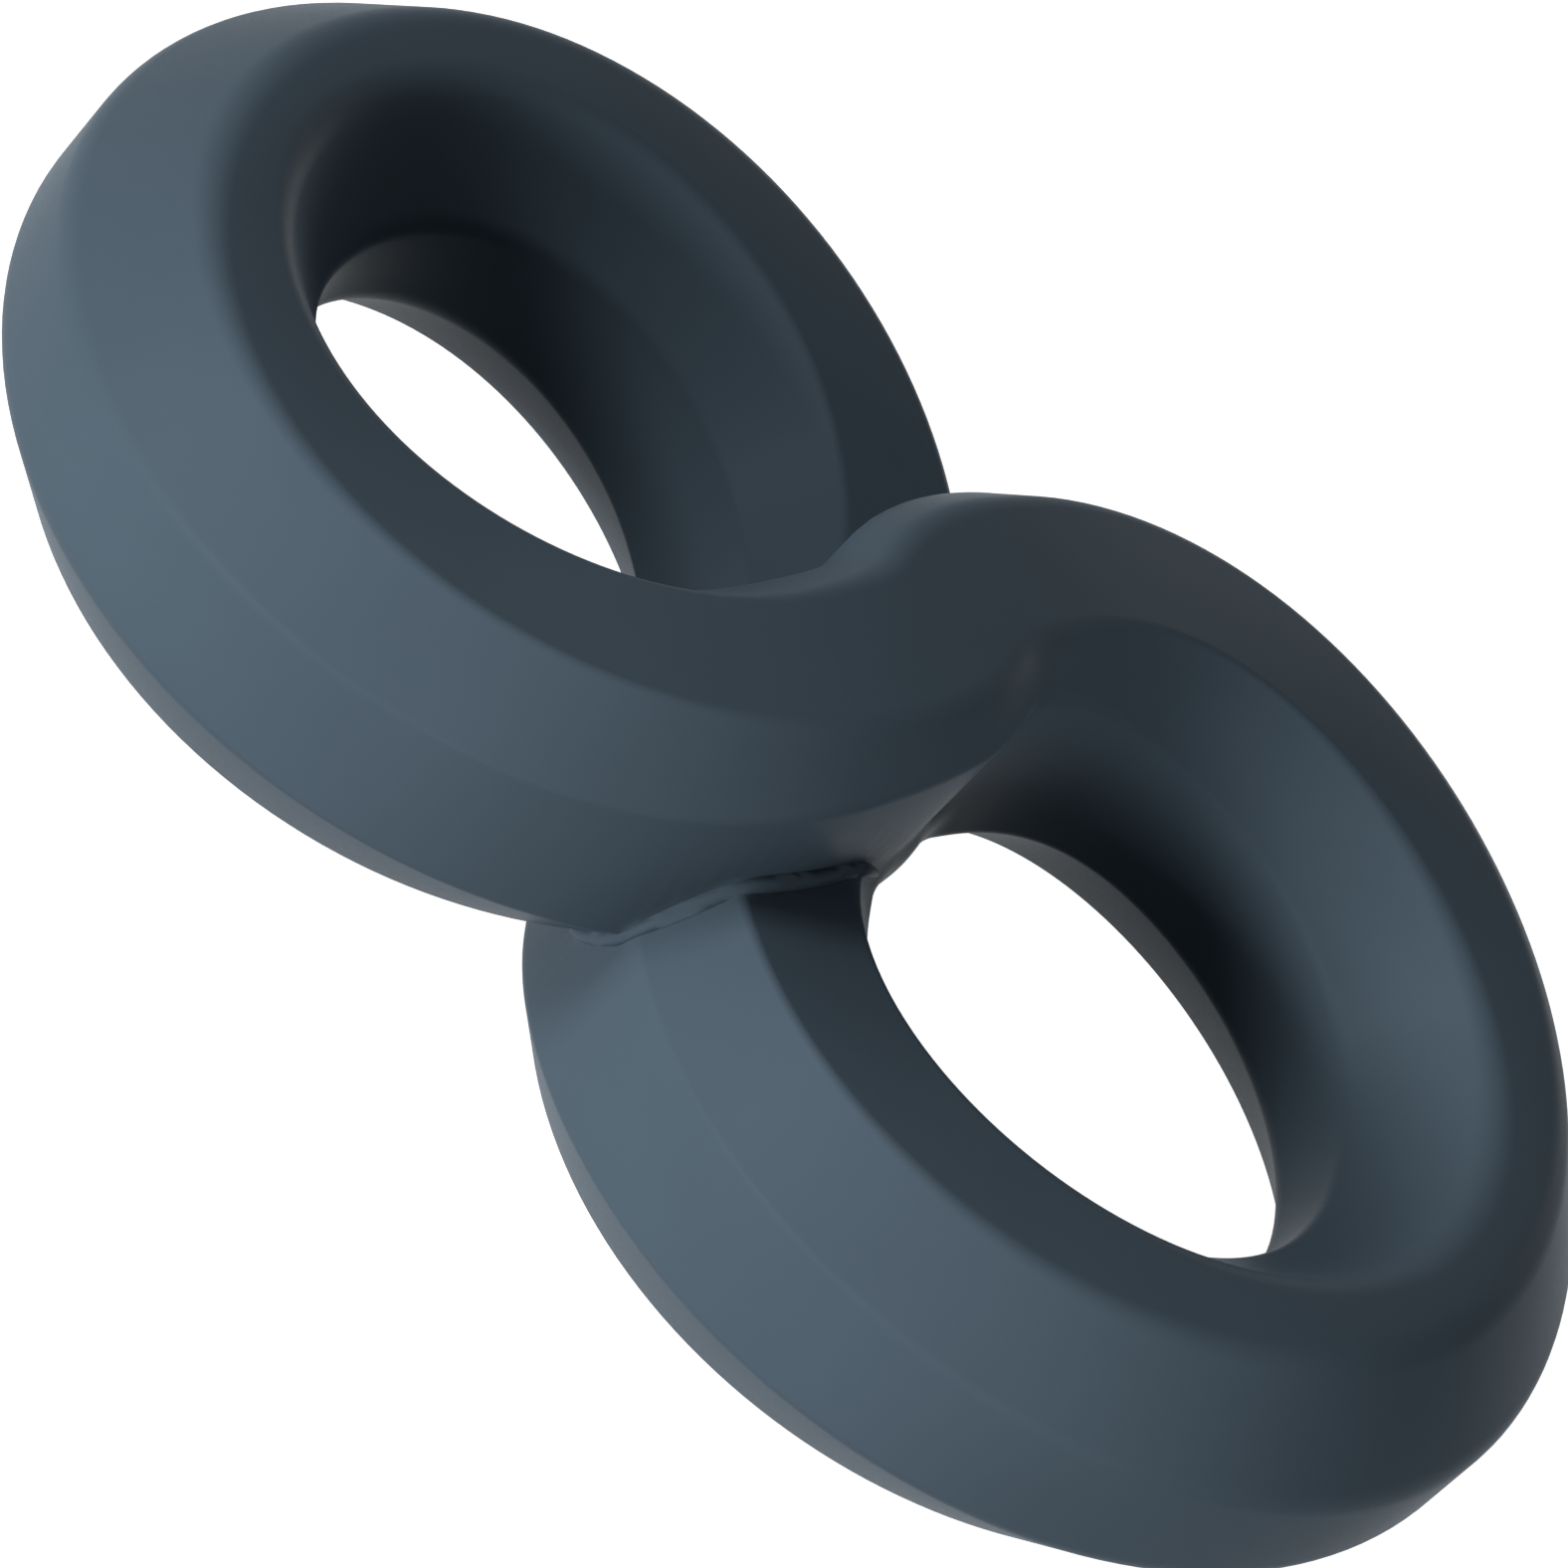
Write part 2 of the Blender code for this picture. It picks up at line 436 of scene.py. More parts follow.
def bead_tree():
    """A round bead along a line, which thins out towards both ends."""
    sizes = {"Line": "Geometry", "Bead Radius": "Float", "Bead Sides": "Int", "Material": "Material"}
    tree, given = new_tree("Seam bead", sizes, "Bead")
    path = add(tree, "GeometryNodeMeshToCurve", {"Mesh": given["Line"]})
    share = add(tree, "GeometryNodeSplineParameter")
    taper = (share * (1.0 - 2 * BEAD_TIP) + BEAD_TIP) * math.pi
    outline = {"Resolution": given["Bead Sides"], "Radius": given["Bead Radius"]}
    swept = {
        "Curve": path,
        "Profile Curve": add(tree, "GeometryNodeCurvePrimitiveCircle", outline),
        "Scale": taper.math("SINE") ** BEAD_TAPER,
        "Fill Caps": True,
    }
    bead = add(tree, "GeometryNodeCurveToMesh", swept)
    bead = add(tree, "GeometryNodeRealizeInstances", {"Geometry": bead})
    bead = add(tree, "GeometryNodeSetMaterial", {"Geometry": bead, "Material": given["Material"]})
    return close_tree(tree, bead)


def made_by(tree, name, values, start=None):
    """The plain mesh that a geometry node tree makes from these values of its named inputs."""
    holder = bpy.data.objects.new(name, start or bpy.data.meshes.new(name + "_holder"))
    bpy.context.scene.collection.objects.link(holder)
    modifier = holder.modifiers.new(name, "NODES")
    modifier.node_group = tree
    for socket in tree.interface.items_tree:
        if socket.in_out == "INPUT" and socket.name in values:
            modifier[socket.identifier] = values[socket.name]
    graph = bpy.context.evaluated_depsgraph_get()
    mesh = bpy.data.meshes.new_from_object(holder.evaluated_get(graph))
    bpy.data.objects.remove(holder)
    mesh.name = name
    if mesh.materials[0] is None:
        mesh.materials.pop(index=0)
    return mesh


# ---------------------------------------------------------------------------------------------
# The skin
# ---------------------------------------------------------------------------------------------


class Surface:
    """Half of the strand, as a surface that places are measured from."""

    def __init__(self, mesh, turn=None):
        shape = bmesh.new()
        shape.from_mesh(mesh)
        if turn:
            shape.transform(turn)
        bmesh.ops.triangulate(shape, faces=shape.faces)
        self.places = np.array([vert.co for vert in shape.verts])
        self.corners = np.array([[vert.index for vert in face.verts] for face in shape.faces])
        areas = np.array([face.normal * face.calc_area() for face in shape.faces])
        self.normals = np.zeros_like(self.places)
        for column in self.corners.T:
            np.add.at(self.normals, column, areas)
        self.normals = unit(self.normals)
        self.tree = BVHTree.FromBMesh(shape)
        shape.free()

    def measure(self, places):
        """Each place's height over the surface, and the surface's smooth normal under it."""
        feet = np.empty((len(places), 3))
        faces = np.empty(len(places), int)
        flat = np.empty((len(places), 3))
        for i, place in enumerate(places):
            foot, normal, face, _ = self.tree.find_nearest(place)
            feet[i] = foot
            flat[i] = normal
            faces[i] = face
        a, b, c = (self.places[self.corners[faces, k]] for k in range(3))
        whole = np.cross(b - a, c - a)
        size = np.maximum((whole**2).sum(1), LEAST_AREA)
        share_b = (np.cross(feet - a, c - a) * whole).sum(1) / size
        share_c = (np.cross(b - a, feet - a) * whole).sum(1) / size
        shares = np.stack([1 - share_b - share_c, share_b, share_c], 1)
        corner_normals = self.normals[self.corners[faces]]
        smooth = unit((corner_normals * shares[:, :, None]).sum(1))
        heights = ((places - feet) * flat).sum(1)
        away = np.linalg.norm(places - feet, axis=1)
        return np.where(heights < 0, -away, away), smooth


def unit(vectors):
    return vectors / np.maximum(np.linalg.norm(vectors, axis=-1, keepdims=True), LEAST_LENGTH)


def fillet_at(places, ring):
    """The fillet's reach there: thin along the seam, and wide in the corner of each hole."""
    off_axis = np.hypot(places[:, 1], places[:, 2])
    swell = np.exp(-((off_axis / ring.corner_spread) ** 2))
    return ring.seam_fillet + (ring.corner_fillet - ring.seam_fillet) * swell


def filleted(places, front, back, ring):
    """Height over the two surfaces joined by a soft fillet, and which way it grows."""
    front_height, front_normal = front.measure(places)
    back_height, back_normal = back.measure(places)
    fillet = fillet_at(places, ring)
    overlap = np.maximum(1 - np.abs(front_height - back_height) / fillet, 0)
    height = np.minimum(front_height, back_height) - overlap**2 * fillet / 4
    other = overlap / 2
    front_share = np.where(front_height < back_height, 1 - other, other)[:, None]
    return height, front_normal * front_share + back_normal * (1 - front_share)


def settle(places, front, back, ring, rounds=3):
    """Moves places onto the filleted surface."""
    for _ in range(rounds):
        height, growth = filleted(places, front, back, ring)
        steepness = np.maximum((growth**2).sum(1), LEAST_GROWTH)
        places = places - growth * (height / steepness)[:, None]
    return places


def stretch(mesh, around, first, last, keep_inside, turn=None):
    """Part of a tube: the rings from first to last, or all but what lies between them."""
    shape = bmesh.new()
    shape.from_mesh(mesh)
    shape.verts.ensure_lookup_table()
    for face in list(shape.faces):
        rings = [vert.index // around for vert in face.verts]
        inside = first <= min(rings) and max(rings) <= last
        if inside != keep_inside:
            shape.faces.remove(face)
    loose = [vert for vert in shape.verts if not vert.link_faces]
    bmesh.ops.delete(shape, geom=loose, context="VERTS")
    if turn:
        shape.transform(turn)
    return shape


def united_passes(mesh, around, first, last):
    """Both passes of the strand as one closed body, cut square at the four ends."""
    holders = []
    for name, turn in (("front", None), ("back", TURN_OVER)):
        shape = stretch(mesh, around, first, last, True, turn)
        bmesh.ops.holes_fill(shape, edges=[edge for edge in shape.edges if edge.is_boundary])
        body = bpy.data.meshes.new(name)
        shape.to_mesh(body)
        shape.free()
        holders.append(bpy.data.objects.new(name, body))
        bpy.context.scene.collection.objects.link(holders[-1])
    union = holders[0].modifiers.new("union", "BOOLEAN")
    union.operation = "UNION"
    union.solver = "EXACT"
    union.object = holders[1]
    graph = bpy.context.evaluated_depsgraph_get()
    result = bpy.data.meshes.new_from_object(holders[0].evaluated_get(graph))
    for holder in holders:
        bpy.data.objects.remove(holder)
    return result


def whole_ring(mesh, around, first, last):
    """The passes welded to both loops: the closed skin, with a sharp seam at the crossing."""
    shape = bmesh.new()
    shape.from_mesh(united_passes(mesh, around, first, last))
    caps = [face for face in shape.faces if len(face.verts) == around]
    bmesh.ops.delete(shape, geom=caps, context="FACES_ONLY")
    for turn in (None, TURN_OVER):
        loops = stretch(mesh, around, first, last, False, turn)
        part = bpy.data.meshes.new("loops")
        loops.to_mesh(part)
        loops.free()
        shape.from_mesh(part)
    bmesh.ops.remove_doubles(shape, verts=shape.verts, dist=WELD)
    return shape


def soften_seam(shape, front, back, ring):
    """Remeshes the strip along the seam with small even triangles that lie on the fillet."""
    grain = ring.seam_fillet / GRAINS_PER_FILLET
    split_long_edges(shape, front, back, ring)
    for _ in range(SEAM_ROUNDS):
        triangulated(shape, seam_strip(shape, front, back, ring))
        long = [
            edge
            for edge in edges_round(seam_strip(shape, front, back, ring))
            if edge.calc_length() > LONGEST * grain
            and all(len(face.verts) == 3 for face in edge.link_faces)
        ]
        bmesh.ops.subdivide_edges(shape, edges=long, cuts=1)
        triangulated(shape, seam_strip(shape, front, back, ring))
        collapse_short(shape, seam_strip(shape, front, back, ring), SHORTEST * grain)
        strip = seam_strip(shape, front, back, ring)
        faces = [face for face in faces_round(strip) if len(face.verts) == 3]
        inside = set(faces)
        inner = [edge for edge in edges_round(strip) if inside.issuperset(edge.link_faces)]
        bmesh.ops.beautify_fill(shape, faces=faces, edges=inner, method="ANGLE")
        loose = set(within_borders(strip))
        even = [relaxed(vert) if vert in loose else vert.co for vert in strip]
        for vert, place in zip(strip, settle(np.array(even), front, back, ring)):
            vert.co = place
    smooth_strip(seam_strip(shape, front, back, ring))


def relaxed(vert):
    """A place on the way from the point to the middle of its neighbours."""
    return (1.0 - RELAXING) * vert.co + RELAXING * middle_of_neighbours(vert)


def seam_gap(places, front, back):
    """How far each place lies from the further one of the two passes."""
    return np.maximum(np.abs(front.measure(places)[0]), np.abs(back.measure(places)[0]))


def long_edges(shape, front, back, ring):
    """The edges round the seam that are longer than the coarse grain."""
    edges = [
        edge
        for edge in shape.edges
        if edge.calc_length() > COARSE_GRAIN and abs(edge.verts[0].co.x) < STRAND_WIDTH
    ]
    starts, ends = (np.array([edge.verts[k].co for edge in edges]) for k in range(2))
    near = np.zeros(len(edges), bool)
    for places in (starts, (starts + ends) / 2, ends):
        reach = STRIP_REACH * fillet_at(places, ring) + COARSE_GRAIN / 2
        near |= seam_gap(places, front, back) < reach
    return [edge for edge, close in zip(edges, near) if close]


def split_long_edges(shape, front, back, ring):
    """Splits the faces round the seam, so that the strip has an even mesh to lie in."""
    for _ in range(COARSE_ROUNDS):
        ends = [vert for edge in long_edges(shape, front, back, ring) for vert in edge.verts]
        triangulated(shape, list(dict.fromkeys(ends)))
        long = long_edges(shape, front, back, ring)
        split = bmesh.ops.subdivide_edges(shape, edges=long, cuts=1)
        added = [part for part in split["geom_inner"] if isinstance(part, bmesh.types.BMVert)]
        triangulated(shape, added)


def within_borders(strip):
    """The points of the strip that have no neighbour outside it."""
    inside = set(strip)
    return [
        vert
        for vert in strip
        if all(edge.other_vert(vert) in inside for edge in vert.link_edges)
    ]


def smooth_strip(strip):
    """Evens out the strip, up to its borders."""
    inner = within_borders(strip)
    for _ in range(SMOOTH_ROUNDS):
        even = [(vert.co + middle_of_neighbours(vert)) / 2 for vert in inner]
        for vert, place in zip(inner, even):
            vert.co = place


def faces_round(verts):
    return list(dict.fromkeys(face for vert in verts for face in vert.link_faces))


def edges_round(verts):
    return list(dict.fromkeys(edge for vert in verts for edge in vert.link_edges))


def collapse_short(shape, verts, least):
    """Collapses edges shorter than least, where that leaves the skin closed."""
    chosen = []
    taken = set()
    for edge in edges_round(verts):
        if edge.calc_length() > least:
            continue
        one, other = (
            {link.other_vert(vert) for link in vert.link_edges} for vert in edge.verts
        )
        triangles = sum(len(face.verts) == 3 for face in edge.link_faces)
        if len(one & other) == triangles and not (one | other) & taken:
            chosen.append(edge)
            taken |= one | other
    bmesh.ops.collapse(shape, edges=chosen)


def triangulated(shape, verts):
    faces = [face for face in faces_round(verts) if len(face.verts) > 3]
    bmesh.ops.triangulate(shape, faces=faces)


def middle_of_neighbours(vert):
    neighbours = [edge.other_vert(vert).co for edge in vert.link_edges]
    return sum(neighbours, Vector()) / len(neighbours)


def seam_strip(shape, front, back, ring):
    """The points of the skin that lie near both surfaces, round the crossing."""
    verts = [vert for vert in shape.verts if abs(vert.co.x) < STRAND_WIDTH]
    places = np.array([vert.co for vert in verts])
    near = seam_gap(places, front, back) < STRIP_REACH * fillet_at(places, ring)
    return [vert for vert, close in zip(verts, near) if close]


def seam_line(shape, front, back, ring):
    """The stretch of the seam that the bead lies on, from the outer notch to a loop's hole."""
    verts = [vert for vert in shape.verts if abs(vert.co.x) < STRAND_WIDTH and vert.co.y < 0]
    places = np.array([vert.co for vert in verts])
    on_seam = seam_gap(places, front, back) < ON_SEAM
    in_reach = (places[:, 0] > ring.bead_start) & (places[:, 0] < ring.bead_end)
    places = places[on_seam & in_reach]
    places = places[np.argsort(places[:, 0])]
    lengths = np.linalg.norm(np.diff(places, axis=0), axis=1)
    along = np.concatenate([[0.0], np.cumsum(lengths)])
    even = np.linspace(0.0, along[-1], BEAD_STEPS + 1)
    line = np.stack([np.interp(even, along, column) for column in places.T], 1)
    line = settle(line, front, back, ring)
    line += unit(filleted(line, front, back, ring)[1]) * ring.bead_lift
    for _ in range(BEAD_ROUNDS):
        line[1:-1] = (line[:-2] + 2 * line[1:-1] + line[2:]) / 4
    return line


def seam_bead(line, ring, material):
    """The bead of silicone along that line."""
    path = bpy.data.meshes.new("bead_line")
    path.from_pydata(line, [(step, step + 1) for step in range(len(line) - 1)], [])
    sizes = {"Bead Radius": ring.bead_radius, "Bead Sides": ring.bead_sides, "Material": material}
    return made_by(bead_tree(), "seam_bead", sizes, path)


def shaded(shape, front, back, ring, bead):
    """The skin as a mesh, shaded along the seam by the true lie of the filleted surface."""
    shape.verts.index_update()
    strip = [vert.index for vert in seam_strip(shape, front, back, ring)]
    for turn in HALF_TURNS:
        part = bead.copy()
        part.transform(turn)
        shape.from_mesh(part)
    mesh = bpy.data.meshes.new("ring_skin")
    shape.to_mesh(mesh)
    mesh.shade_smooth()
    normals = np.array([vert.vector for vert in mesh.vertex_normals])
    places = np.array([mesh.vertices[index].co for index in strip])
    normals[strip] = unit(filleted(places, front, back, ring)[1])
    starts, ends = np.array([edge.vertices for edge in mesh.edges]).T
    for _ in range(SHADING_ROUNDS):
        mixed = normals.copy()
        np.add.at(mixed, starts, normals[ends])
        np.add.at(mixed, ends, normals[starts])
        normals[strip] = unit(mixed[strip])
    mesh.normals_split_custom_set_from_vertices(normals)
    return mesh


# ---------------------------------------------------------------------------------------------
# The finish
# ---------------------------------------------------------------------------------------------


def noise(tree, places, grain, detail):
    size = {"Vector": places, "Scale": 1.0 / grain}
    look = {"Detail": detail, "Roughness": NOISE_ROUGHNESS}
    return add(tree, "ShaderNodeTexNoise", {**size, **look})


def spread(tree, value, low, high):
    """Stretches the middle of a noise over a range."""
    inputs = {"Value": value, **NOISE_RANGE, "To Min": low, "To Max": high}
    return add(tree, "ShaderNodeMapRange", inputs)


def slate_silicone(finish):
    """Matte moulded silicone, with clouded pigment and the faint grain of a blasted mould."""
    material = bpy.data.materials.new("Slate silicone")
    material.use_nodes = True
    tree = material.node_tree
    shader = tree.nodes["Principled BSDF"]
    places = add(tree, "ShaderNodeTexCoord", output="Object")

    cloud = noise(tree, places, finish.cloud_size, CLOUD_DETAIL)
    light = Vector(finish.colour) * (1.0 + finish.cloud_depth)
    dark = Vector(finish.colour) * (1.0 - finish.cloud_depth)
    share = spread(tree, cloud, 0.0, 1.0)
    shades = {MIX_SHARE: share, MIX_FIRST: (*dark, 1.0), MIX_SECOND: (*light, 1.0)}
    colour = add(tree, "ShaderNodeMix", shades, output=MIX_RESULT, data_type="RGBA")
    plug(tree, colour, shader.inputs["Base Color"])

    grain = noise(tree, places, finish.grain_size, GRAIN_DETAIL)
    smoothest = finish.roughness - ROUGHNESS_STRAY
    rough = spread(tree, grain, smoothest, finish.roughness + ROUGHNESS_STRAY)
    plug(tree, rough, shader.inputs["Roughness"])
    relief = {"Strength": 1.0, "Distance": finish.grain_depth, "Height": grain}
    plug(tree, add(tree, "ShaderNodeBump", relief), shader.inputs["Normal"])

    shader.inputs["IOR"].default_value = finish.refraction
    shader.inputs["Specular IOR Level"].default_value = finish.gloss
    return material


# ---------------------------------------------------------------------------------------------
# What a user can change
# ---------------------------------------------------------------------------------------------


class RingShape(bpy.types.PropertyGroup):
    """The sizes of the ring that its footprint leaves free."""

    swing_angle: FloatProperty(
        name="Swing angle",
        description="How far short of touching each other the loops stop being circles",
        default=math.radians(24.6),
        unit="ROTATION",
    )
    swing_ease: FloatProperty(
        name="Swing ease",
        description="How firmly a pass keeps the loop's heading before it swings across",
        default=1.27,
        min=0.0,
        max=2.0,
        subtype="FACTOR",
    )
    crossing_width: FloatProperty(
        name="Crossing width",
        description="Width of the strand where its passes cross",
        default=10.9 * MM,
        unit="LENGTH",
    )
    crown_length: FloatProperty(
        name="Crown length",
        description="The level stretch of each pass over the crossing",
        default=0.5 * MM,
        unit="LENGTH",
    )
    chamfer_width: FloatProperty(
        name="Chamfer width",
        description="How far a chamfer reaches across the top of the strand, on the loops' sides",
        default=3.2 * MM,
        unit="LENGTH",
    )
    chamfer_height: FloatProperty(
        name="Chamfer height",
        description="How far a chamfer reaches down the strand, on the loops' sides",
        default=4.3 * MM,
        unit="LENGTH",
    )
    edge_radius: FloatProperty(
        name="Edge radius",
        description="Rounding of the strand's edges on the loops' sides",
        default=0.35 * MM,
        unit="LENGTH",
    )
    end_chamfer_width: FloatProperty(
        name="End chamfer width",
        description="How far a chamfer reaches across the top of the strand at a loop's far end",
        default=4.5 * MM,
        unit="LENGTH",
    )
    end_chamfer_height: FloatProperty(
        name="End chamfer height",
        description="How far a chamfer reaches down the strand at a loop's far end",
        default=5.35 * MM,
        unit="LENGTH",
    )
    end_edge_radius: FloatProperty(
        name="End edge radius",
        description="Rounding of the strand's edges at a loop's far end",
        default=2.4 * MM,
        unit="LENGTH",
    )
    crossing_chamfer_width: FloatProperty(
        name="Crossing chamfer width",
        description="How far a chamfer reaches across the top of the strand over the crossing",
        default=1.82 * MM,
        unit="LENGTH",
    )
    crossing_chamfer_height: FloatProperty(
        name="Crossing chamfer height",
        description="How far a chamfer reaches down the strand over the crossing",
        default=1.85 * MM,
        unit="LENGTH",
    )
    crossing_edge_radius: FloatProperty(
        name="Crossing edge radius",
        description="Rounding of the strand's edges over the crossing",
        default=2.0 * MM,
        unit="LENGTH",
    )
    seam_fillet: FloatProperty(
        name="Seam fillet",
        description="Reach of the fillet where the two passes meet",
        default=0.6 * MM,
        unit="LENGTH",
    )
    bead_radius: FloatProperty(
        name="Bead radius",
        description="Radius of the thin bead that runs along the seam",
        default=0.4 * MM,
        unit="LENGTH",
    )
    bead_lift: FloatProperty(
        name="Bead lift",
        description="How far the bead's middle line stands off the fillet",
        default=0.14 * MM,
        unit="LENGTH",
    )
    bead_start: FloatProperty(
        name="Bead start",
        description="Where the bead starts, across the middle of the ring",
        default=-0.8 * MM,
        unit="LENGTH",
    )
    bead_end: FloatProperty(
        name="Bead end",
        description="Where the bead ends, beside a loop's hole",
        default=5.3 * MM,
        unit="LENGTH",
    )
    bead_sides: IntProperty(
        name="Bead sides",
        description="Sides of the bead's round section",
        default=12,
    )
    corner_fillet: FloatProperty(
        name="Corner fillet",
        description="Reach of the same fillet in the corner of each loop's hole",
        default=2.5 * MM,
        unit="LENGTH",
    )
    corner_spread: FloatProperty(
        name="Corner spread",
        description="How far from the corner of a hole the fillet is still swollen",
        default=3.0 * MM,
        unit="LENGTH",
    )
    edge_steps: IntProperty(
        name="Edge steps",
        description="Faces round each edge of the strand",
        default=6,
        min=1,
    )
    steps_along: IntProperty(
        name="Steps along",
        description="Sections along each half of the strand",
        default=160,
        min=40,
    )


class RingFinish(bpy.types.PropertyGroup):
    """The silicone's colour and surface."""

    colour: FloatVectorProperty(
        name="Colour",
        description="The silicone's pigment",
        default=(0.068, 0.098, 0.1265),
        subtype="COLOR",
        min=0.0,
        max=1.0,
    )
    cloud_size: FloatProperty(
        name="Cloud size",
        description="Size of the faint clouds in the pigment",
        default=9.0 * MM,
        unit="LENGTH",
    )
    cloud_depth: FloatProperty(
        name="Cloud depth",
        description="How much the clouds lighten and darken the pigment",
        default=0.03,
        subtype="FACTOR",
    )
    roughness: FloatProperty(
        name="Roughness",
        description="How matte the silicone is",
        default=0.45,
        min=0.0,
        max=1.0,
        subtype="FACTOR",
    )
    refraction: FloatProperty(
        name="Refractive index",
        description="Silicone's refractive index",
        default=1.41,
    )
    gloss: FloatProperty(
        name="Gloss",
        description="Strength of the surface's reflections, at which 0.5 is a clean polished one",
        default=0.035,
        min=0.0,
        max=1.0,
        subtype="FACTOR",
    )
    grain_size: FloatProperty(
        name="Grain size",
        description="Size of the grain that the blasted mould leaves",
        default=0.22 * MM,
        unit="LENGTH",
    )
    grain_depth: FloatProperty(
        name="Grain depth",
        description="Depth of that grain",
        default=0.004 * MM,
        unit="LENGTH",
    )


class RingStudio(bpy.types.PropertyGroup):
    """The light, the floor and the camera."""

    room_light: FloatProperty(
        name="Room light",
        description="Strength of the even light from all round",
        default=0.09,
    )
    floor_colour: FloatVectorProperty(
        name="Floor colour",
        description="The floor's colour, as it lights the ring",
        default=(0.2, 0.2, 0.2),
        subtype="COLOR",
        min=0.0,
        max=1.0,
    )
    floor_glow: FloatProperty(
        name="Floor glow",
        description="How much of the floor's seen brightness is its own, and takes no shadow",
        default=0.97,
        subtype="FACTOR",
    )


# ---------------------------------------------------------------------------------------------
# The operators
# ---------------------------------------------------------------------------------------------


class MakeSkin(bpy.types.Operator):
    """Makes the ring's seamless silicone skin"""

    bl_idname = "massage_ring.make_skin"
    bl_label = "Silicone skin"

    def execute(self, context):
        ring = context.scene.ring_shape
        half = made_by(
            half_strand_tree(),
            "half_strand",
            {
                "Loop Radius": LOOP_RADIUS,
                "Swing Angle": ring.swing_angle,
                "Swing Ease": ring.swing_ease,
                "Crossing Lift": CROSSING_LIFT,
                "Crown Length": ring.crown_length,
                "Overrun": OVERRUN,
                "Strand Width": STRAND_WIDTH,
                "Crossing Width": ring.crossing_width,
                "Strand Height": STRAND_HEIGHT,
                "Chamfer Width": ring.chamfer_width,
                "Chamfer Height": ring.chamfer_height,
                "Edge Radius": ring.edge_radius,
                "End Chamfer Width": ring.end_chamfer_width,
                "End Chamfer Height": ring.end_chamfer_height,
                "End Edge Radius": ring.end_edge_radius,
                "Crossing Chamfer Width": ring.crossing_chamfer_width,
                "Crossing Chamfer Height": ring.crossing_chamfer_height,
                "Crossing Edge Radius": ring.crossing_edge_radius,
                "Edge Steps": ring.edge_steps,
                "Steps Along": ring.steps_along,
                "Material": slate_silicone(context.scene.ring_finish),
            },
        )
        around = SIDES * (ring.edge_steps + 1)
        if len(half.vertices) != around * (ring.steps_along + 1):
            raise RuntimeError("An edge radius is too large for its chamfer: the outlines differ.")
        first = round(PASS_START * ring.steps_along)
        front = Surface(half)
        back = Surface(half, TURN_OVER)
        shape = whole_ring(half, around, first, ring.steps_along - first)
        line = seam_line(shape, front, back, ring)
        soften_seam(shape, front, back, ring)
        if any(not edge.is_manifold for edge in shape.edges):
            raise RuntimeError("The skin isn't closed.")
        bead = seam_bead(line, ring, half.materials[0])
        mesh = shaded(shape, front, back, ring, bead)
        shape.free()
        mesh.transform(Matrix.Translation((0.0, 0.0, MIDDLE.z)))
        mesh.materials.append(half.materials[0])
        skin = bpy.data.objects.new("ring_skin", mesh)
        context.scene.collection.objects.link(skin)
        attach(skin, "root")
        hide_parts(*NODES)
        return {"FINISHED"}


def from_middle(azimuth, elevation):
    """The direction from the ring towards a place round it. Azimuth 0 is the front, -Y."""
    level = math.cos(elevation)
    return Vector((math.sin(azimuth) * level, -math.cos(azimuth) * level, math.sin(elevation)))


def hang(obj, aim, azimuth, elevation, distance, roll=0.0):
    """Puts a lamp or camera at a distance from where it aims."""
    back = from_middle(azimuth, elevation)
    turn = back.to_track_quat("Z", "Y").to_matrix() @ Matrix.Rotation(roll, 3, "Z")
    obj.matrix_world = Matrix.LocRotScale(aim + back * distance, turn, None)
    bpy.context.scene.collection.objects.link(obj)


def softbox(name, power, azimuth, elevation, width, height):
    lamp = bpy.data.lights.new(name, "AREA")
    lamp.shape = "RECTANGLE"
    lamp.size = width
    lamp.size_y = height
    lamp.energy = power
    holder = bpy.data.objects.new(name, lamp)
    hang(holder, MIDDLE, math.radians(azimuth), math.radians(elevation), SOFTBOX_DISTANCE)


def seen_directly(tree):
    """1 for what the camera sees, straight or in a reflection, and 0 for what lights the ring."""
    path = tree.nodes.new("ShaderNodeLightPath")
    rays = [Term(tree, path.outputs[name]) for name in CAMERA_RAYS]
    return rays[0].math("MAXIMUM", rays[1]).math("MAXIMUM", rays[2])


def add_floor(studio):
    """A pale floor that is seen white, with the ring's shadow, and lights it as a plain floor."""
    shape = bmesh.new()
    bmesh.ops.create_grid(shape, x_segments=1, y_segments=1, size=FLOOR_SIZE / 2)
    mesh = bpy.data.meshes.new("floor")
    shape.to_mesh(mesh)
    shape.free()
    material = bpy.data.materials.new("Pale floor")
    material.use_nodes = True
    tree = material.node_tree
    tree.nodes.remove(tree.nodes["Principled BSDF"])
    plain = add(tree, "ShaderNodeBsdfDiffuse", {"Color": (*studio.floor_colour, 1.0)})
    white = add(tree, "ShaderNodeBsdfDiffuse", {"Color": FLOOR_WHITE})
    glow = add(tree, "ShaderNodeEmission", {"Color": WHITE, "Strength": studio.floor_glow})
    seen = add(tree, "ShaderNodeAddShader", (white, glow))
    surface = add(tree, "ShaderNodeMixShader", (seen_directly(tree), plain, seen))
    plug(tree, surface, tree.nodes["Material Output"].inputs["Surface"])
    mesh.materials.append(material)
    floor = bpy.data.objects.new("floor", mesh)
    bpy.context.scene.collection.objects.link(floor)


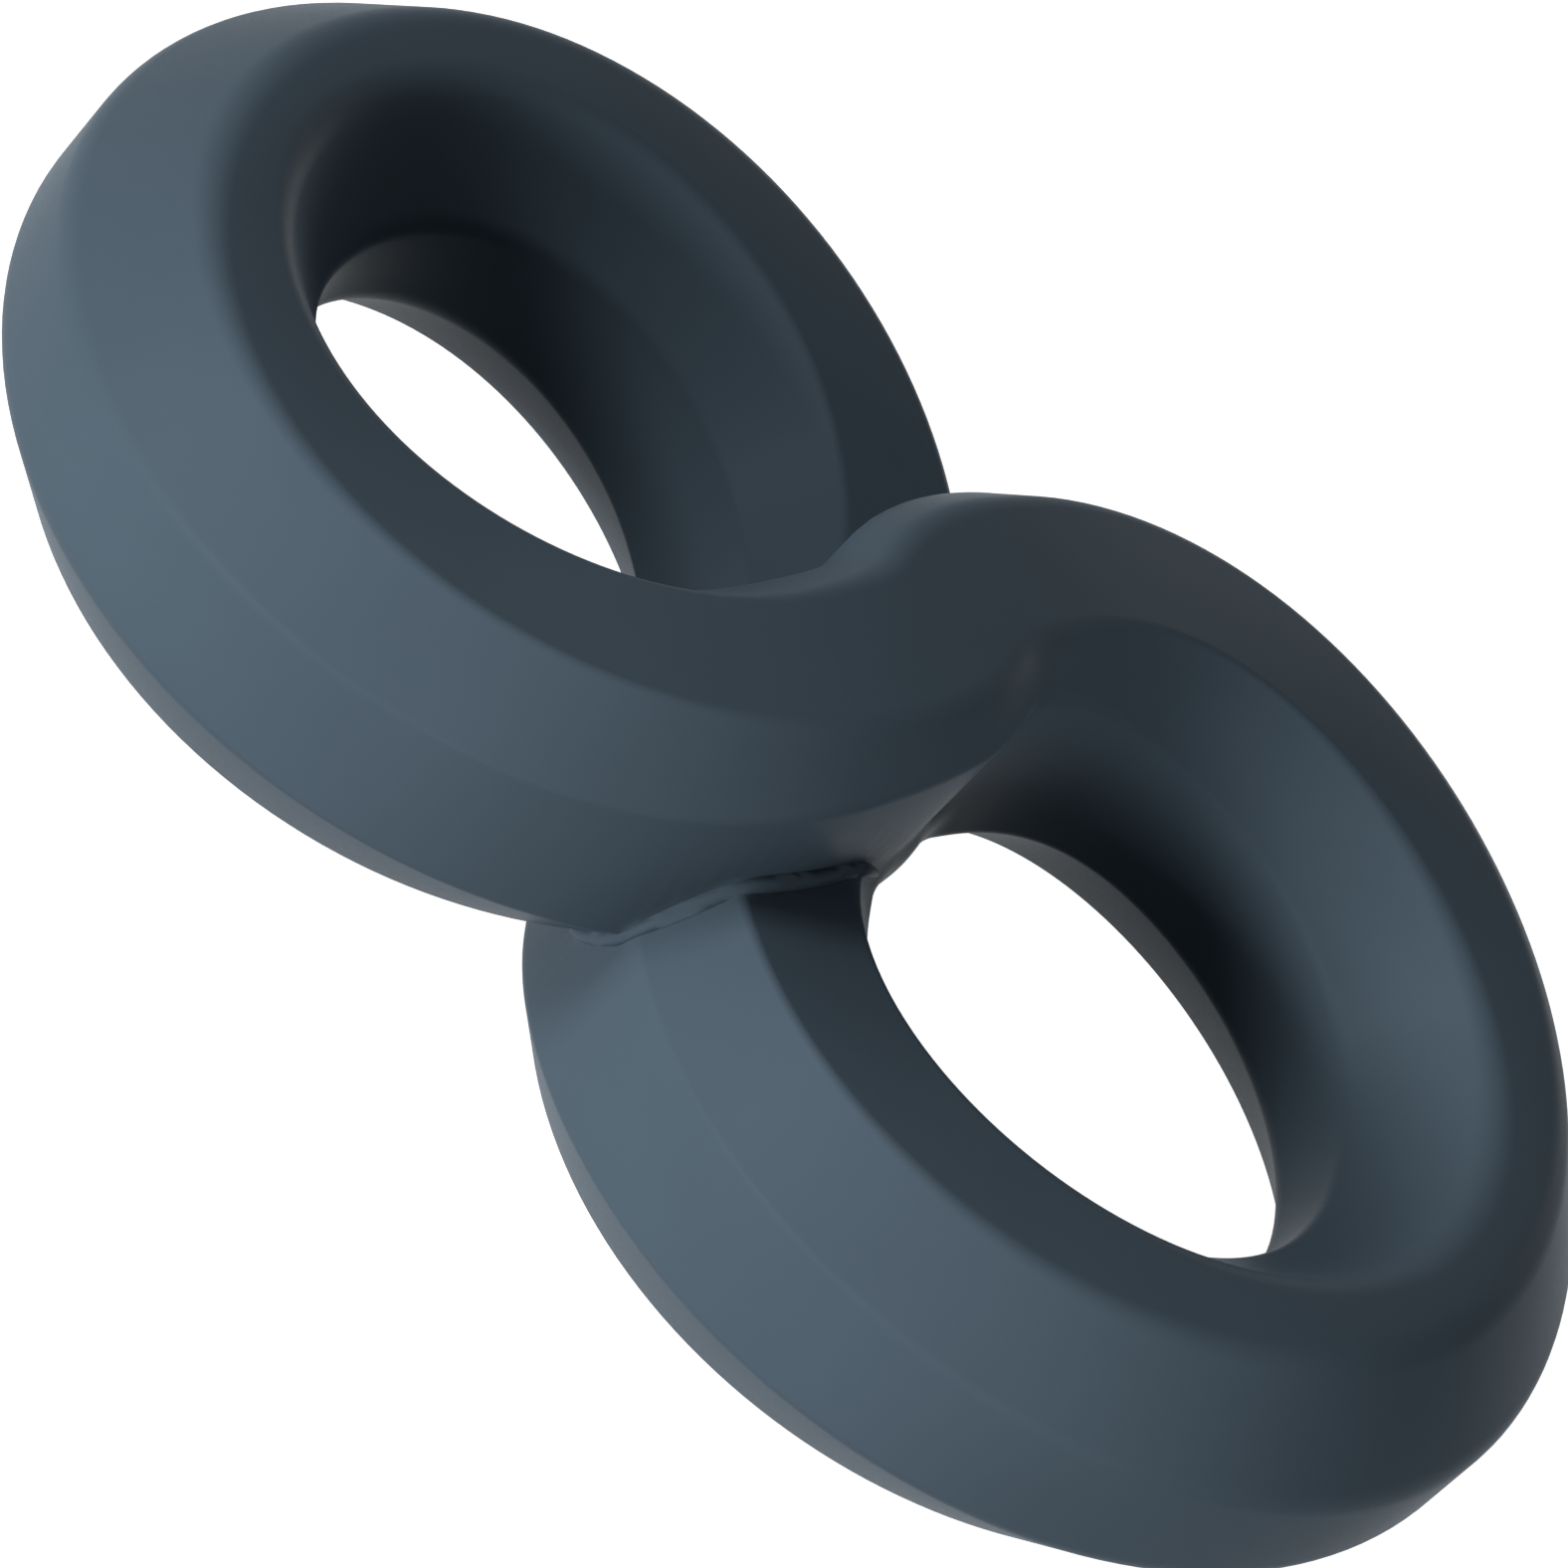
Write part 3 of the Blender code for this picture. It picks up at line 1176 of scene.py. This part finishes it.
def light_room(studio):
    """Even light from all round, which the camera sees as white."""
    world = bpy.data.worlds.new("Studio")
    world.use_nodes = True
    tree = world.node_tree
    backdrop = tree.nodes["Background"]
    strength = seen_directly(tree) * (1.0 - studio.room_light) + studio.room_light
    plug(tree, strength, backdrop.inputs["Strength"])
    backdrop.inputs["Color"].default_value = WHITE
    bpy.context.scene.world = world


class MakeStudio(bpy.types.Operator):
    """Makes the floor, the soft light and the camera"""

    bl_idname = "massage_ring.make_studio"
    bl_label = "Studio"

    def execute(self, context):
        studio = context.scene.ring_studio
        add_floor(studio)
        light_room(studio)
        for name, setting in SOFTBOXES.items():
            softbox(name, *setting)

        lens = bpy.data.cameras.new("Camera")
        lens.sensor_width = SENSOR_WIDTH
        lens.lens = LENS
        camera = bpy.data.objects.new("Camera", lens)
        hang(camera, MIDDLE + CAMERA_AIM, *CAMERA_PLACE, roll=CAMERA_ROLL)
        context.scene.camera = camera
        context.scene.view_settings.view_transform = "Standard"
        return {"FINISHED"}


class RingPanel(bpy.types.Panel):
    """Lists the ring's parts and what can be changed on them"""

    bl_idname = "VIEW3D_PT_massage_ring"
    bl_label = "Massage ring"
    bl_space_type = "VIEW_3D"
    bl_region_type = "UI"
    bl_category = SIDEBAR

    def draw(self, context):
        scene = context.scene
        for operator, groups in (
            (MakeSkin, (scene.ring_shape, scene.ring_finish)),
            (MakeStudio, (scene.ring_studio,)),
        ):
            box = self.layout.box()
            box.operator(operator.bl_idname)
            for group in groups:
                for name in group.bl_rna.properties.keys():
                    if name not in ("rna_type", "name"):
                        box.prop(group, name)


CLASSES = (RingShape, RingFinish, RingStudio, MakeSkin, MakeStudio, RingPanel)
GROUPS = {"ring_shape": RingShape, "ring_finish": RingFinish, "ring_studio": RingStudio}


def register():
    for kind in CLASSES:
        bpy.utils.register_class(kind)
    for name, kind in GROUPS.items():
        setattr(bpy.types.Scene, name, PointerProperty(type=kind))


def unregister():
    for name in GROUPS:
        delattr(bpy.types.Scene, name)
    for kind in reversed(CLASSES):
        bpy.utils.unregister_class(kind)


def main():
    register()
    bpy.ops.massage_ring.make_skin()
    bpy.ops.massage_ring.make_studio()


if __name__ == "__main__":
    main()
